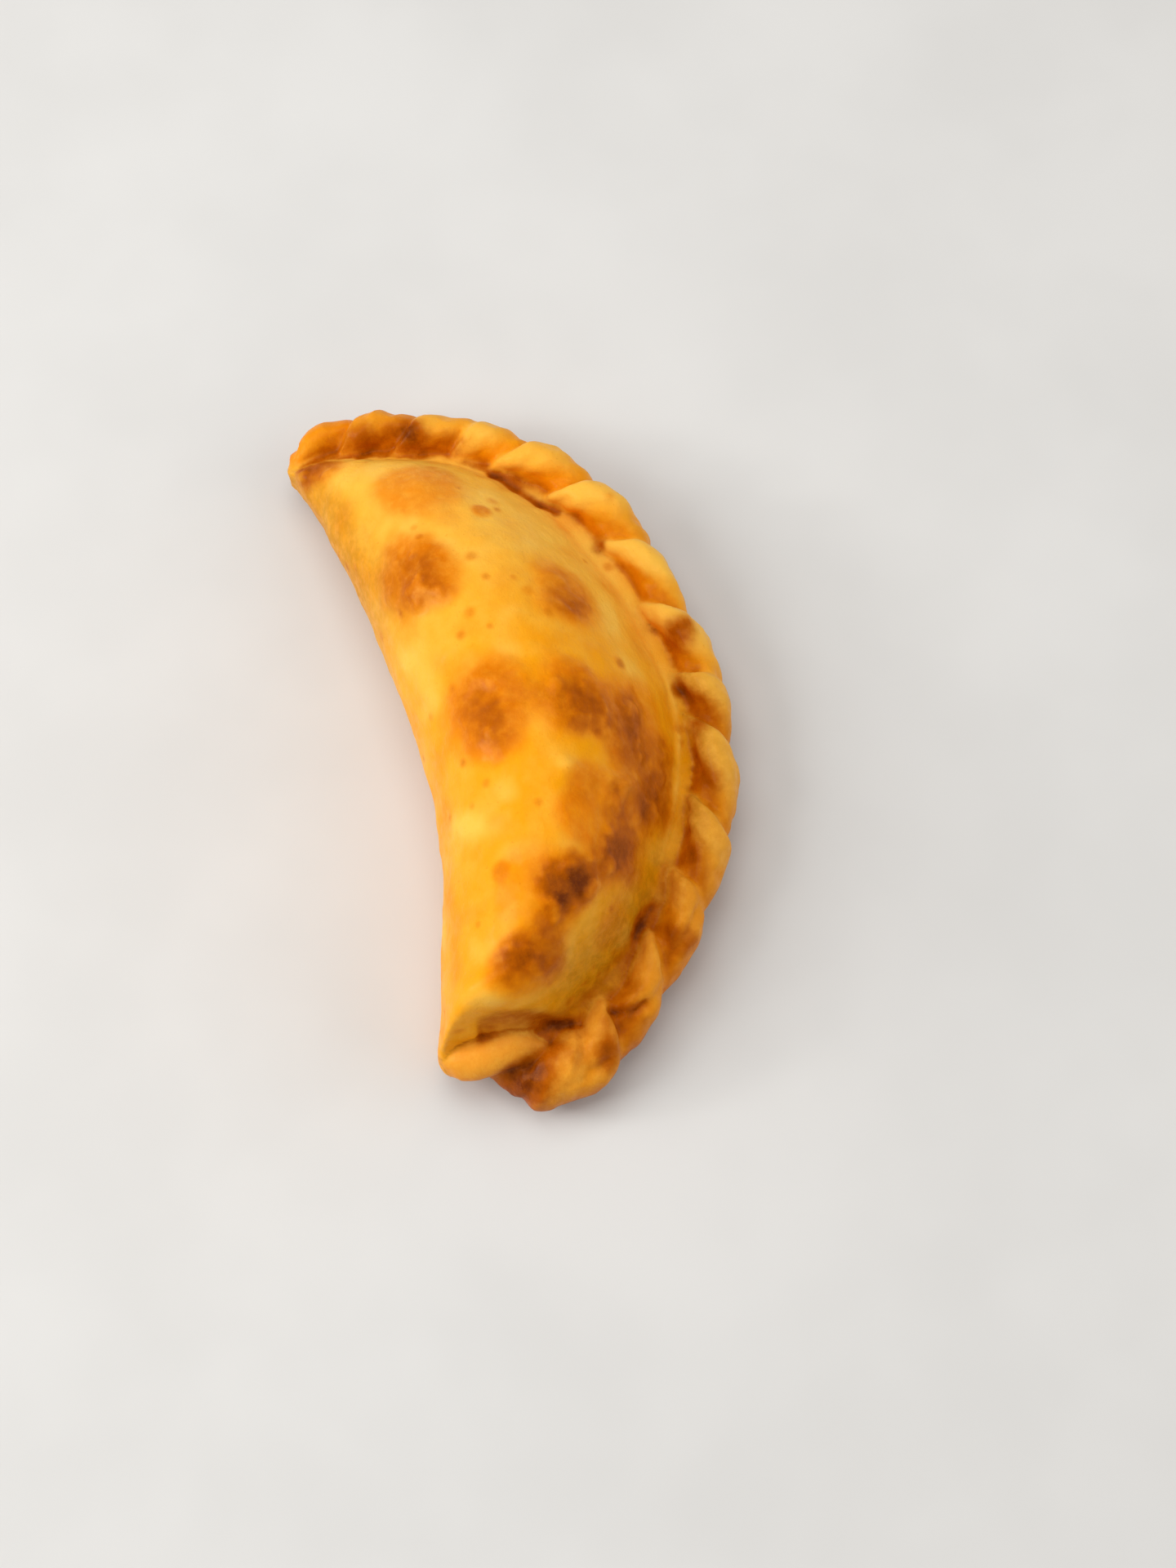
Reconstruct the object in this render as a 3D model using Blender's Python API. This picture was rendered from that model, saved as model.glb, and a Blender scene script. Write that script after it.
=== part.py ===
"""Beef sambousek: a half-moon meat pasty, closed along its curved edge by a rope of overlapping folds.

One closed solid in metres, +Z up. X runs from the sharp tip to the blunt end, and the rope is on the +Y side.
The pasty rests on the flat of its underside, and the origin is under the middle of its bounding box.
"""

import math

import bmesh
import bpy
import numpy as np

MM = 0.001

# Plan of the dough, in millimetres: the folded side, and the seam that the rope runs along.
FOLDED_SIDE = (
    (-64, -23), (-55, -21), (-35, -18.2), (-13, -17), (5, -17), (23, -20.4), (39.5, -26), (53, -31),
)
SEAM = (
    (-64, -23), (-62.8, -12.5), (-57, 1.5), (-50, 13), (-40.5, 20.5), (-25, 27), (-8, 30.2), (6, 30),
    (18, 26), (31, 18.5), (41, 11), (49, -1), (52.8, -9.5), (52, -18), (51.5, -25), (53, -31),
)

# Heights along the pasty, as (share of the way from the sharp tip to the blunt end, millimetres).
DOME_TOP = (
    (0, 11), (0.05, 15), (0.15, 23), (0.3, 31.5), (0.5, 36.5), (0.7, 37), (0.85, 33), (0.93, 27.5),
    (0.97, 21), (1, 12),
)
FOLD_LEVEL = ((0, 8), (0.15, 12), (0.5, 15), (0.85, 13), (1, 8))
SEAM_LEVEL = ((0, 8), (0.15, 10), (0.5, 11), (0.85, 9.5), (1, 8))
UNDERSIDE = ((0, 5), (0.1, 1), (0.2, -4), (0.5, -6), (0.85, -5), (0.94, -1), (1, 4))
FLAT_EASE = 1.5 * MM

# How round the dome is at its folded side and, along the way, at its seam: less is fuller.
SIDE_ROUNDING = 0.5
SEAM_ROUNDING = ((0, 0.9), (0.7, 0.85), (0.88, 0.6), (1, 0.5))
LEAN_TO_SEAM = 0.6

# The lip of dough at the seam, inside the rope.
LIP_REACH = 0.42
LIP_HALF_HEIGHT = 2.6 * MM
SIDE_RIM = 4

# The rope: its reach past the seam, its height and the level of its middle, by millimetres along the seam.
ROPE_REACH = (
    (0, 5), (7, 8.4), (15, 9.4), (45, 10.2), (65, 10), (90, 8.8), (105, 9.2), (118, 10.4),
    (140, 9.8), (151, 11), (162, 13), (170, 12), (175, 9), (180, 5),
)
ROPE_HEIGHT = ((0, 7), (10, 11), (30, 12.5), (90, 12), (140, 13), (165, 12.5), (180, 8))
ROPE_LEVEL = ((0, 8), (20, 10.5), (60, 12), (100, 11.5), (140, 9.5), (160, 7.5), (180, 6))
CORE_SHARE = 0.62
CORE_START = 1.0
CORE_END = 179.5

# Where each fold of the rope starts and how far it shows, in millimetres along the seam.
FOLDS = (
    (0, 9), (9, 10), (19, 11), (30, 8), (37.5, 12), (49.5, 12.5), (62, 14.5), (76.5, 15), (92, 8),
    (99, 14.5), (113.5, 14), (127.5, 12.5), (139.5, 14), (153.5, 12), (160, 19),
)
ROPE_END = 181.5
FOLD_TOP_ANGLE = math.radians(172)
FOLD_UNDER_ANGLE = math.radians(-165)
FOLD_MARGIN = 0.02
FOLD_SKEW = 1.1
FOLD_WIDTH = 1.28
FOLD_THICKNESS = 0.55
END_WIDTH = 0.3
END_THICKNESS = 0.25
END_ROUNDING = 0.7
FRONT_SIZE = 0.80
TAIL_DROP = 0.62
RIM_DROP = 0.6
BACK_THICKNESS = 0.5
CALM_FOLDS = 4
CALM_RELIEF = 0.64
FOLD_JITTER = 0.08
JITTER_SEED = 7

# The leaf of dough that closes the blunt end: x, y, middle level, half its width, half its thickness.
END_LEAF = (
    (53.2, -31.0, 7.5, 1.5, 2.5), (53.6, -28.5, 9.0, 3.4, 3.6), (54.2, -25.0, 10.5, 4.0, 3.8),
    (54.6, -21.0, 11.5, 4.0, 3.6), (55.2, -17.0, 11.5, 3.2, 3.0), (56.6, -12.5, 10.5, 1.0, 1.5),
)

# Mesh resolution.
CURVE_STEPS = 600
BULGE_STEPS = 101
BODY_RIBS = 46
BODY_ROUND = 36
FOLD_STEPS = 13
FOLD_ROUND = 12
CORE_STEPS = 60
CORE_ROUND = 8
LEAF_STEPS = 12
LEAF_ROUND = 10

CRUST_COLOUR = (0.83, 0.42, 0.07, 1.0)


def clear_scene():
    """Removes everything that an opened file holds."""
    for thing in list(bpy.data.objects):
        bpy.data.objects.remove(thing, do_unlink=True)


def through(knots, values, x):
    """A smooth curve through values at knots, read at x."""
    knots = np.asarray(knots, float)
    values = np.asarray(values, float)
    x = np.asarray(x, float)
    slopes = np.gradient(values, knots, axis=0)
    i = np.clip(np.searchsorted(knots, x) - 1, 0, len(knots) - 2)
    span = knots[i + 1] - knots[i]
    t = np.clip((x - knots[i]) / span, 0, 1)
    if values.ndim > 1:
        t = t[..., None]
        span = span[..., None]
    ease_in = 2 * t**3 - 3 * t**2 + 1
    bend_in = t**3 - 2 * t**2 + t
    bend_out = t**3 - t**2
    return (
        ease_in * values[i]
        + (1 - ease_in) * values[i + 1]
        + span * (bend_in * slopes[i] + bend_out * slopes[i + 1])
    )


def level(stations, x):
    """The height or width that a list of stations gives at x, in metres."""
    knots, values = zip(*stations)
    return through(knots, values, x) * MM


class PlanCurve:
    """A smooth curve on the plan, read by the distance along it."""

    def __init__(self, points):
        points = np.asarray(points, float) * MM
        chords = np.linalg.norm(np.diff(points, axis=0), axis=1)
        knots = np.concatenate([[0], np.cumsum(chords)])
        self.line = through(knots, points, np.linspace(0, knots[-1], CURVE_STEPS))
        steps = np.linalg.norm(np.diff(self.line, axis=0), axis=1)
        self.distance = np.concatenate([[0], np.cumsum(steps)])
        self.length = self.distance[-1]
        self.heading = np.gradient(self.line, self.distance, axis=0)

    def at(self, distance):
        """The points at these distances along the curve."""
        return np.stack([np.interp(distance, self.distance, self.line[:, k]) for k in (0, 1)], -1)

    def outward(self, distance):
        """The level directions square to the curve, on its left."""
        along = np.stack([np.interp(distance, self.distance, self.heading[:, k]) for k in (0, 1)], -1)
        along /= np.linalg.norm(along, axis=-1, keepdims=True)
        return np.stack([-along[..., 1], along[..., 0]], -1)


def bulge(share, seam_rounding):
    """How far the dough stands up between its folded side and its seam, from 0 to 1."""
    def raw(s):
        return s**SIDE_ROUNDING * (1 - s) ** seam_rounding * (1 + LEAN_TO_SEAM * s)

    return raw(share) / raw(np.linspace(0, 1, BULGE_STEPS)).max()


def rest_on_floor(height):
    """Flattens what would reach below the floor, with a short easing at its edge."""
    eased = (height + FLAT_EASE) ** 2 / (4 * FLAT_EASE)
    return np.where(height > FLAT_EASE, height, np.where(height < -FLAT_EASE, 0.0, eased))


def body_rings(folded_side, seam):
    """The stuffed body as closed rings, one for each rib from the sharp tip to the blunt end."""
    way = (1 - np.cos(np.linspace(0, math.pi, BODY_RIBS))) / 2
    turn = np.linspace(0, 2 * math.pi, BODY_ROUND, endpoint=False)
    share = (1 - np.cos(turn)) / 2
    rings = []
    for u in way:
        fold = folded_side.at(u * folded_side.length)
        along = u * seam.length
        lip = LIP_REACH * level(ROPE_REACH, along / MM)
        edge = seam.at(along) + seam.outward(along) * lip
        across = share * np.linalg.norm(edge - fold)
        seam_rounding = through(*zip(*SEAM_ROUNDING), u)
        dome = bulge(np.clip(across / max(across.max() - lip, MM), 0, 1), seam_rounding)
        to_rim = np.minimum((across.max() - across) / lip, SIDE_RIM * share)
        lip_half = LIP_HALF_HEIGHT * np.sqrt(np.clip(to_rim, 0, 1))
        plan = fold + (edge - fold) * share[:, None]
        middle = level(FOLD_LEVEL, u) * (1 - share) + level(SEAM_LEVEL, u) * share
        top = middle + np.maximum((level(DOME_TOP, u) - middle) * dome, lip_half)
        under = middle - np.maximum((middle - level(UNDERSIDE, u)) * dome, lip_half)
        height = np.where(turn < math.pi, top, rest_on_floor(under))
        rings.append(np.column_stack([plan, height]))
    return rings


def rope_point(seam, along, angle, size):
    """A point round the rope: size is 1 at its skin, and angle 0 points out, 90 degrees up."""
    reach = level(ROPE_REACH, along / MM)
    tall = level(ROPE_HEIGHT, along / MM)
    across = reach / 2 * (1 + size * np.cos(angle))
    height = level(ROPE_LEVEL, along / MM) + tall / 2 * size * np.sin(angle)
    plan = seam.at(along) + seam.outward(along) * across[..., None]
    return np.concatenate([plan, height[..., None]], -1)


def fold_rings(seam, start, pitch, swell, relief):
    """One fold: a flap of dough that starts thin at the seam, wraps over the edge and tucks in below."""
    rings = []
    turn = np.linspace(0, 2 * math.pi, FOLD_ROUND, endpoint=False)
    back = (1 - np.cos(turn)) / 2
    proud = np.sin(turn)
    room = min(1.0, (ROPE_END - start) / (pitch * (FOLD_SKEW + FOLD_WIDTH)))
    for a in np.linspace(FOLD_MARGIN, 1 - FOLD_MARGIN, FOLD_STEPS):
        angle = FOLD_TOP_ANGLE + (FOLD_UNDER_ANGLE - FOLD_TOP_ANGLE) * a
        spread = math.sin(math.pi * a) ** END_ROUNDING
        width = FOLD_WIDTH * (END_WIDTH + (1 - END_WIDTH) * spread)
        along = start + pitch * room * (FOLD_SKEW * a + width * back)
        drop = TAIL_DROP * relief * (1 - (1 - RIM_DROP) * max(0.0, math.cos(angle)))
        thickness = FOLD_THICKNESS * relief * (END_THICKNESS + (1 - END_THICKNESS) * spread)
        size = swell * (FRONT_SIZE - drop * back + thickness * proud * (1 - BACK_THICKNESS * back))
        rings.append(rope_point(seam, along * MM, angle, size))
    return rings


def core_rings(seam):
    """The middle of the rope, under its folds."""
    turn = np.linspace(0, 2 * math.pi, CORE_ROUND, endpoint=False)
    rings = []
    for along in np.linspace(CORE_START, CORE_END, CORE_STEPS):
        rings.append(rope_point(seam, along * MM, -turn, CORE_SHARE))
    return rings


def leaf_rings():
    """The leaf that lies along the blunt end, pointed where it meets the last folds."""
    stations = np.array(END_LEAF, float) * MM
    knots = np.arange(len(stations))
    line = through(knots, stations, np.linspace(0, knots[-1], LEAF_STEPS))
    heading = np.gradient(line[:, :2], axis=0)
    heading /= np.linalg.norm(heading, axis=1, keepdims=True)
    turn = np.linspace(0, 2 * math.pi, LEAF_ROUND, endpoint=False)
    rings = []
    for (x, y, middle, half_width, half_height), (along_x, along_y) in zip(line, heading):
        sideways = half_width * np.cos(turn)
        upward = half_height * np.sin(turn)
        rings.append(np.column_stack([x + along_y * sideways, y - along_x * sideways, middle + upward]))
    return rings


def solid_from_rings(name, rings):
    """A closed object whose skin runs through the rings and ends in a point at each end."""
    count = len(rings[0])
    mesh = bpy.data.meshes.new(name)
    points = np.concatenate([*rings, rings[0].mean(0)[None], rings[-1].mean(0)[None]])
    first_end = count * len(rings)
    faces = []
    for k in range(count):
        after = (k + 1) % count
        faces.append((first_end, after, k))
        for j in range(len(rings) - 1):
            low = j * count
            high = low + count
            faces.append((low + k, low + after, high + after, high + k))
        faces.append((first_end + 1, high + k, high + after))
    mesh.from_pydata(points.tolist(), [], faces)
    shape = bmesh.new()
    shape.from_mesh(mesh)
    bmesh.ops.triangulate(shape, faces=shape.faces)
    bmesh.ops.recalc_face_normals(shape, faces=shape.faces)
    shape.to_mesh(mesh)
    shape.free()
    thing = bpy.data.objects.new(name, mesh)
    bpy.context.scene.collection.objects.link(thing)
    return thing


def make_folds(seam):
    """Every fold of the rope, each a little different in size."""
    chance = np.random.default_rng(JITTER_SEED)
    folds = []
    for number, (start, pitch) in enumerate(FOLDS):
        swell = 1 + FOLD_JITTER * chance.uniform(-1, 1)
        relief = CALM_RELIEF if number < CALM_FOLDS else 1.0
        rings = fold_rings(seam, start, pitch, swell, relief)
        folds.append(solid_from_rings(f"fold_{number}", rings))
    return folds


def fuse(body, others):
    """Joins the other solids into the body with one Boolean union."""
    group = bpy.data.collections.new("rope")
    bpy.context.scene.collection.children.link(group)
    for thing in others:
        bpy.context.scene.collection.objects.unlink(thing)
        group.objects.link(thing)
    join = body.modifiers.new("join", "BOOLEAN")
    join.operation = "UNION"
    join.operand_type = "COLLECTION"
    join.collection = group
    join.solver = "EXACT"
    bpy.context.view_layer.update()
    fused = bpy.data.meshes.new_from_object(body.evaluated_get(bpy.context.evaluated_depsgraph_get()))
    body.modifiers.remove(join)
    body.data = fused
    for thing in others:
        bpy.data.objects.remove(thing, do_unlink=True)
    bpy.data.collections.remove(group)


def centre_on_origin(thing):
    """Puts the origin under the middle of the bounding box."""
    points = np.array([v.co for v in thing.data.vertices])
    low, high = points.min(0), points.max(0)
    move = -np.array([(low[0] + high[0]) / 2, (low[1] + high[1]) / 2, low[2]])
    for vertex in thing.data.vertices:
        vertex.co.x += move[0]
        vertex.co.y += move[1]
        vertex.co.z += move[2]
    print("move", move / MM, "size", (high - low) / MM)


def crust_material():
    """Golden fried dough."""
    material = bpy.data.materials.new("crust")
    material.use_nodes = True
    shader = material.node_tree.nodes["Principled BSDF"]
    shader.inputs["Base Color"].default_value = CRUST_COLOUR
    shader.inputs["Roughness"].default_value = 0.5
    shader.inputs["Metallic"].default_value = 0.0
    return material


def main():
    clear_scene()
    folded_side = PlanCurve(FOLDED_SIDE)
    seam = PlanCurve(SEAM)
    body = solid_from_rings("sambousek", body_rings(folded_side, seam))
    core = solid_from_rings("core", core_rings(seam))
    leaf = solid_from_rings("leaf", leaf_rings())
    fuse(body, [core, leaf, *make_folds(seam)])
    centre_on_origin(body)
    body.data.materials.clear()
    body.data.materials.append(crust_material())
    for face in body.data.polygons:
        face.use_smooth = True
    print("triangles", sum(len(p.vertices) - 2 for p in body.data.polygons), "seam", seam.length / MM)


main()
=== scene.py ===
"""Beef sambousek as a dressed scene: the fried crust with its rope of folds, blisters and browning.

The crust is made from the same dough shapes as the solid, at a finer scale, fused into one skin, and then
blistered, wrinkled and browned. Lengths in the tables are millimetres; the scene itself is in metres.
"""

import math

import bmesh
import bpy
import numpy as np
from mathutils import Matrix, Vector, kdtree, noise


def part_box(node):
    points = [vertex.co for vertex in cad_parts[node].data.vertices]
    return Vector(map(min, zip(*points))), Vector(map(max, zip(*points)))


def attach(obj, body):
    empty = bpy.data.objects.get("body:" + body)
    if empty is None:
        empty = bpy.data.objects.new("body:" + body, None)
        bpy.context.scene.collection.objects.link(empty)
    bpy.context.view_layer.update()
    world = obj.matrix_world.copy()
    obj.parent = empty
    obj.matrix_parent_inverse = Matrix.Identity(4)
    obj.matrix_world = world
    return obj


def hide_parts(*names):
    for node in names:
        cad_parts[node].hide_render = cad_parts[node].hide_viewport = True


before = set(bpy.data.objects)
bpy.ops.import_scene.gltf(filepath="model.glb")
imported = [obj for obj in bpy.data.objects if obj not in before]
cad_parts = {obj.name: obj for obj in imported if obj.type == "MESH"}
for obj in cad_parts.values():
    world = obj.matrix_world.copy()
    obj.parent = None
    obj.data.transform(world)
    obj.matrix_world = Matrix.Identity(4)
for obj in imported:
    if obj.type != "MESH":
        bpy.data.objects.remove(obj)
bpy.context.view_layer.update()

MM = 0.001

# Plan of the dough: the folded side, and the seam that the rope runs along.
FOLDED_SIDE = (
    (-64, -23), (-55, -21), (-35, -18.2), (-13, -17), (5, -17), (23, -20.4), (39.5, -26), (53, -31),
)
SEAM = (
    (-64, -23), (-62.8, -12.5), (-57, 1.5), (-50, 13), (-40.5, 20.5), (-25, 27), (-8, 30.2), (6, 30),
    (18, 26), (31, 18.5), (41, 11), (49, -1), (52.8, -9.5), (52, -18), (51.5, -25), (53, -31),
)

# Heights along the pasty, as (share of the way from the sharp tip to the blunt end, millimetres).
DOME_TOP = (
    (0, 11), (0.05, 15), (0.15, 23), (0.3, 31.5), (0.5, 36.5), (0.7, 37), (0.85, 33), (0.93, 27.5),
    (0.97, 21), (1, 12),
)
FOLD_LEVEL = ((0, 8), (0.15, 12), (0.5, 15), (0.85, 13), (1, 8))
SEAM_LEVEL = ((0, 8), (0.15, 10), (0.5, 11), (0.85, 9.5), (1, 8))
UNDERSIDE = ((0, 5), (0.1, 1), (0.2, -4), (0.5, -6), (0.85, -5), (0.94, -1), (1, 4))
FLAT_EASE = 1.5 * MM

# How round the dome is at its folded side and, along the way, at its seam: less is fuller.
SIDE_ROUNDING = 0.5
SEAM_ROUNDING = ((0, 0.9), (0.7, 0.85), (0.88, 0.6), (1, 0.5))
LEAN_TO_SEAM = 0.6

# The lip of dough at the seam, inside the rope.
LIP_REACH = 0.42
LIP_HALF_HEIGHT = 2.6 * MM
SIDE_RIM = 4

# The rope: its reach past the seam, its height and the level of its middle, by millimetres along the seam.
ROPE_REACH = (
    (0, 5), (7, 8.4), (15, 9.4), (45, 10.2), (65, 10), (90, 8.8), (105, 9.2), (118, 10.4),
    (140, 9.8), (151, 11), (162, 13), (170, 12), (175, 9), (180, 5),
)
ROPE_HEIGHT = ((0, 7), (10, 11), (30, 12.5), (90, 12), (140, 13), (165, 12.5), (180, 8))
ROPE_LEVEL = ((0, 8), (20, 10.5), (60, 12), (100, 11.5), (140, 9.5), (160, 7.5), (180, 6))
CORE_SHARE = 0.62
CORE_START = 1.0
CORE_END = 179.5

# Where each fold of the rope starts and how far it shows, in millimetres along the seam.
FOLDS = (
    (0, 9), (9, 10), (19, 11), (30, 8), (37.5, 12), (49.5, 12.5), (62, 14.5), (76.5, 15), (92, 8),
    (99, 14.5), (113.5, 14), (127.5, 12.5), (139.5, 14), (153.5, 12), (160, 19),
)
ROPE_END = 181.5
FOLD_TOP_ANGLE = math.radians(172)
FOLD_UNDER_ANGLE = math.radians(-165)
FOLD_MARGIN = 0.02
FOLD_SKEW = 1.1
FOLD_WIDTH = 1.28
FOLD_THICKNESS = 0.55
END_WIDTH = 0.3
END_THICKNESS = 0.25
END_ROUNDING = 0.7
FRONT_SIZE = 0.80
TAIL_DROP = 0.62
RIM_DROP = 0.6
BACK_THICKNESS = 0.5
CALM_FOLDS = 4
CALM_RELIEF = 0.64
FOLD_JITTER = 0.08
JITTER_SEED = 7

# The leaf of dough that closes the blunt end: x, y, middle level, half its width, half its thickness.
END_LEAF = (
    (53.2, -31.0, 7.5, 1.5, 2.5), (53.6, -28.5, 9.0, 3.4, 3.6), (54.2, -25.0, 10.5, 4.0, 3.8),
    (54.6, -21.0, 11.5, 4.0, 3.6), (55.2, -17.0, 11.5, 3.2, 3.0), (56.6, -12.5, 10.5, 1.0, 1.5),
)

# Kinds of dough surface.
BODY, FOLD, CORE, LEAF = range(4)

# The places in a fold, from its front to its tail and round it, that the core and the leaf look like.
CORE_TAIL = 1
PLAIN_WRAP = 0.3
LEAF_TAIL = 0.25
LEAF_TAIL_SPREAD = 0.2

# Fineness of the surfaces before they are fused.
CURVE_STEPS = 600
BULGE_STEPS = 101
BODY_RIBS = 170
BODY_ROUND = 150
FOLD_STEPS = 34
FOLD_ROUND = 30
CORE_STEPS = 200
CORE_ROUND = 20
LEAF_STEPS = 40
LEAF_ROUND = 26

# The fused skin: its fineness, the rounds of smoothing with what each gives back so that the form doesn't
# shrink, and how much creases of these depths are softened.
SKIN_VOXEL = 0.545 * MM
SKIN_SMOOTHING = 5
SMOOTHING_BACK = 1.04
CREASE_SOFTENING = 0.9
CREASE_PASSES = 5
CREASE_MASK_PASSES = 2
SHARP_CREASE = (0.03 * MM, 0.16 * MM)

# The corner of the blunt end where the leaf and the dome run together: x, y and radius.
MERGED_CORNER = (55.5, -33.0, 5.5)
MERGING_PASSES = 60

# Rounds of averaging: of the dough's notes, of the skin that small and wide hollows are measured from and of
# what they come to, of the folds' relief, of the side beside the tip, and of the rope's shades.
NOTE_PASSES = 3
NEAR_PASSES = 8
WIDE_PASSES = 70
HOLLOW_PASSES = 4
ROPE_RELIEF_PASSES = 3
TIP_SIDE_PASSES = 25
ROPE_SHADE_PASSES = 4

# Between these levels the relief fades in, so that the underside stays flat on the floor.
LIFT_OFF = (0.3 * MM, 2.5 * MM)

# Layers of noise as (size in millimetres, strength, seed). A strength of relief is in millimetres.
DOME_LUMPS = ((11, 0.50, 3), (4, 0.20, 4))
ROPE_LUMPS = ((2.6, 0.28, 9), (6, 0.60, 14))
GRAIN = ((1.5, 0.07, 5),)
RIDGE_LUMPS = ((5, 0.8, 13),)
BLOTCHES = ((7, 0.5, 10),)
MOTTLE = ((2.6, 1.0, 11), (1.2, 0.6, 12))
BROWN_PATCHES = ((5, 1.0, 51), (2, 0.5, 52))
RAGGED_EDGES = ((9, 1.0, 20), (3, 0.3, 30))

# Browned spots and blisters of the dome: x, y, radius, how orange, how brown, and how far they stand up.
BLISTERS = (
    (-26.3, -14.2, 8.8, 0.95, 0.38, 0.5), (-22.4, -12.6, 5.4, 0.60, 0.28, 0.3),
    (-44.5, -7.0, 8.0, 0.75, 0.10, 0.0), (-57.4, -21.7, 4.2, 0.80, 0.26, 0.0),
    (4.2, -10.6, 9.4, 1.00, 0.37, 0.7), (8.6, -10.6, 6.4, 0.90, 0.18, 0.2),
    (-13.9, 12.0, 7.0, 0.80, 0.28, 0.4), (-11.0, 12.6, 4.2, 0.60, 0.26, 0.0),
    (7.4, 6.6, 8.4, 0.95, 0.42, 0.7), (11.0, 7.6, 5.6, 0.60, 0.42, 0.0),
    (10.8, 16.3, 4.4, 0.70, 0.26, 0.3), (15.6, 13.6, 5.8, 0.80, 0.24, 0.3),
    (18.3, 18.8, 5.4, 0.90, 0.24, 0.4), (25.8, 16.8, 5.0, 0.90, 0.46, 0.2),
    (27.0, 13.6, 6.0, 0.90, 0.30, 0.3), (28.3, 12.6, 3.6, 0.60, 0.40, 0.0),
    (24.2, 3.6, 4.4, 0.90, 0.20, -0.3), (27.8, 7.6, 4.2, 0.90, 0.36, -0.2),
    (29.4, 0.6, 5.2, 0.90, 0.08, 0.5), (35.0, 5.2, 6.0, 0.90, 0.44, 0.2),
    (40.0, -6.0, 6.4, 0.95, 0.50, 0.4), (40.2, -6.0, 5.2, 0.60, 0.58, 0.0),
    (49.8, -14.6, 6.6, 0.90, 0.52, 0.2), (50.6, -18.6, 5.0, 0.80, 0.28, 0.0),
    (-35.0, 2.8, 2.0, 0.85, 0.20, 0.2), (0.6, 17.4, 1.6, 0.50, 0.36, 0.2),
    (38.0, -13.0, 7.0, 0.50, 0.08, 0.0), (46.5, 0.5, 5.0, 0.65, 0.22, 0.0),
    (19.5, 14.5, 11.0, 0.75, 0.36, 0.0), (35.0, 7.0, 8.5, 0.70, 0.28, 0.0),
    (11.5, 14.0, 8.0, 0.75, 0.18, 0.0), (8.5, 19.5, 5.0, 0.60, 0.12, 0.0),
    (33.0, -17.0, 2.0, 0.80, 0.20, 0.1), (37.4, 1.2, 5.4, 0.85, 0.40, 0.1),
    (44.6, -9.6, 5.0, 0.80, 0.26, 0.0),
)

# How ragged blisters, stains and painted shades are, as a share of their size, and how brown their patches
# are at least and by how much more. Points this near to each other on the plan are taken as one column.
RAGGED = 0.32
PATCH_EDGE = (-0.25, 0.20)
LEAST_PATCH = 0.84
MORE_PATCH = 0.34
SAME_COLUMN = 0.8 * MM

# How far from its middle a spot's looks are gone and in full, as shares of its radius.
BLISTER_ORANGE = (1.30, 0.60)
BLISTER_BROWN = (1.30, 0.20)
BLISTER_RISE = (1.10, 0.55)
STAIN_AND_SHADE_BROWN = (1.35, 0.0)
FRECKLE_CORE = (1.4, 0.4)
FRECKLE_MIDDLE = (1.4, 0.2)

# Small freckles anywhere on the crust.
FRECKLES = 170
FRECKLE_SEED = 5
FRECKLE_RADIUS = (0.6, 1.3)
FRECKLE_ORANGE = 0.5
FRECKLE_BROWN = (0.08, 0.28)

# Stains of the rope, and painted shade in its creases and under the leaf: x, y, radius and how brown.
STAINS_AND_SHADES = (
    (-57.6, -4.6, 3.6, 0.80), (-58.2, -5.2, 6.0, 0.30), (-61.6, -13.6, 4.4, 0.36), (-54.7, 1.2, 3.0, 0.30),
    (-27.5, 21.9, 2.0, 0.60), (-3.9, 29.3, 4.0, 0.62), (5.5, 26.6, 2.8, 0.60), (12.6, 27.0, 3.2, 0.60),
    (23.3, 24.5, 3.0, 0.50), (34.3, 17.3, 2.6, 0.50), (43.8, 6.5, 2.4, 0.50), (50.6, 13.9, 3.4, 0.40),
    (57.8, -10.3, 2.6, 0.40), (63.6, -21.4, 6.0, 0.70), (65.4, -25.5, 6.0, 0.62),
    (-57.6, -26.2, 4.4, 0.56), (-59.4, -22.0, 5.6, 0.34), (60.6, -1.0, 3.4, 0.36), (65.6, -4.2, 3.6, 0.45),
    (47.2, 7.8, 3.2, 0.42), (50.6, 10.2, 3.4, 0.34), (60.2, -15.8, 3.2, 0.42), (65.3, -8.6, 4.0, 0.30),
    (64.3, -12.6, 2.6, 0.30), (56.0, 0.6, 2.6, 0.38), (54.6, -3.6, 2.2, 0.30),
)

# Bubbles, as (size, seed): noise over this level stands up by a share of the size, more where it browned.
# Their tops are pale, partly as a painted highlight, except where the crust is darkest, and they fade out at
# the seam and at the blunt end.
BUBBLES = ((3.4, 41), (2.0, 42))
BUBBLE_LEVEL = 0.18
BUBBLE_ROUNDING = 0.7
BUBBLE_HEIGHT = 0.04
BROWNED_BUBBLE_HEIGHT = 0.17
BUBBLE_TOP = (0.10 * MM, 0.45 * MM)
BUBBLES_CROWD = (0.12, 0.4)
TOPS_BROWN_TOO = (0.85, 0.55)
BUBBLES_IN = (0.5, 3)
BUBBLES_END = (168, 158)
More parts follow.
